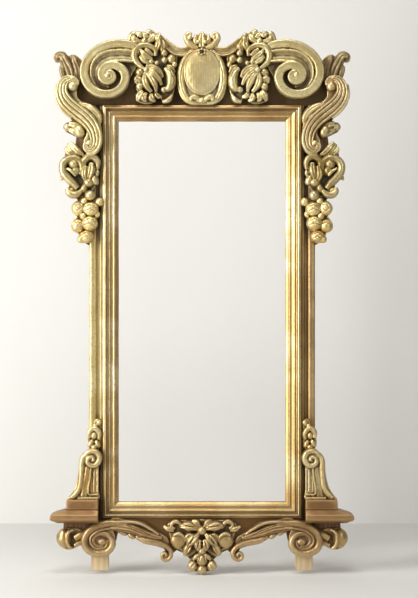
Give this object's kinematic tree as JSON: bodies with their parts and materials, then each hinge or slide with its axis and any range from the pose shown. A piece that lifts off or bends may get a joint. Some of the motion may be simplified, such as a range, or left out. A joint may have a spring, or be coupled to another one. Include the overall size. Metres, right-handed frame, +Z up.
{
  "type": "ornate picture frame",
  "caption": "Tall carved and gilded frame with volute crest, cartouche, scroll shoulders, console brackets and carved apron, with hanging rings and turn buttons on its back",
  "frame": {"origin": "centre of the rear face of the top back rail, in the plane that lies against the wall", "axes": "+X to the viewer's right, +Y from the front toward the wall, +Z up"},
  "size_m": [0.816, 0.1033, 1.4748],
  "materials": {
    "gilded_wood": "rubbed gold leaf over red clay ground",
    "toned_board": "dark toned ground with traces of gold",
    "dark_knob": "dark stained and waxed",
    "bare_wood": "aged bare softwood",
    "iron": "forged and blackened",
    "brass": "dull old brass",
    "screw_steel": "dull steel"
  },
  "bodies": {
    "frame": {"apron_acanthus_left": "gilded_wood", "apron_acanthus_right": "gilded_wood", "apron_board": "toned_board", "apron_volutes": "gilded_wood", "back_rail_bottom": "bare_wood", "back_rail_top": "bare_wood", "back_screws": "screw_steel", "back_stile_left": "bare_wood", "back_stile_right": "bare_wood", "bouquet_left": "gilded_wood", "bouquet_right": "gilded_wood", "cartouche_boss": "gilded_wood", "cartouche_clasp": "gilded_wood", "cartouche_crown": "gilded_wood", "cartouche_knob": "dark_knob", "cartouche_shield": "gilded_wood", "consoles": "gilded_wood", "corner_pins": "bare_wood", "crest_battens": "bare_wood", "crest_board": "toned_board", "crest_leaf_left": "gilded_wood", "crest_leaf_right": "gilded_wood", "crest_rails": "gilded_wood", "crest_volutes": "gilded_wood", "ear_scroll_left": "gilded_wood", "ear_scroll_right": "gilded_wood", "flower_drop_left": "gilded_wood", "flower_drop_right": "gilded_wood", "foot_blocks": "bare_wood", "fruit_drop_left": "gilded_wood", "fruit_drop_right": "gilded_wood", "hanger_straps": "iron", "ledge_left": "gilded_wood", "ledge_right": "gilded_wood", "lower_sprigs": "gilded_wood", "lugs": "bare_wood", "moulding_bottom": "gilded_wood", "moulding_left": "gilded_wood", "moulding_right": "gilded_wood", "moulding_top": "gilded_wood", "pendant": "gilded_wood", "plinth_blocks": "gilded_wood", "rosette": "gilded_wood", "shoulder_blocks": "bare_wood", "shoulder_buds": "gilded_wood", "shoulder_husks": "gilded_wood", "shoulder_scrolls": "gilded_wood", "side_strip_left": "gilded_wood", "side_strip_right": "gilded_wood"},
    "ring_left": {"hanger_ring_left": "iron"},
    "ring_right": {"hanger_ring_right": "iron"},
    "button_upper_left": {"turn_button_upper_left": "brass"},
    "button_upper_right": {"turn_button_upper_right": "brass"},
    "button_lower_left": {"turn_button_lower_left": "brass"},
    "button_lower_right": {"turn_button_lower_right": "brass"}
  },
  "joints": [
    {"name": "ring_left_swing", "type": "hinge", "parent": "frame", "child": "ring_left", "pos_m": [-0.27, 0.0058, -0.2315], "axis": [1, 0, 0], "range_deg": [0, 180]},
    {"name": "button_upper_left_turn", "type": "hinge", "parent": "frame", "child": "button_upper_left", "pos_m": [-0.243, 0.00155, -0.3715], "axis": [0, 1, 0], "continuous": true},
    {"name": "button_lower_left_turn", "type": "hinge", "parent": "frame", "child": "button_lower_left", "pos_m": [-0.243, 0.00155, -0.7515], "axis": [0, 1, 0], "continuous": true},
    {"name": "ring_right_swing", "type": "hinge", "parent": "frame", "child": "ring_right", "pos_m": [0.27, 0.0058, -0.2315], "axis": [1, 0, 0], "range_deg": [0, 180]},
    {"name": "button_upper_right_turn", "type": "hinge", "parent": "frame", "child": "button_upper_right", "pos_m": [0.243, 0.00155, -0.3715], "axis": [0, 1, 0], "continuous": true},
    {"name": "button_lower_right_turn", "type": "hinge", "parent": "frame", "child": "button_lower_right", "pos_m": [0.243, 0.00155, -0.7515], "axis": [0, 1, 0], "continuous": true}
  ]
}
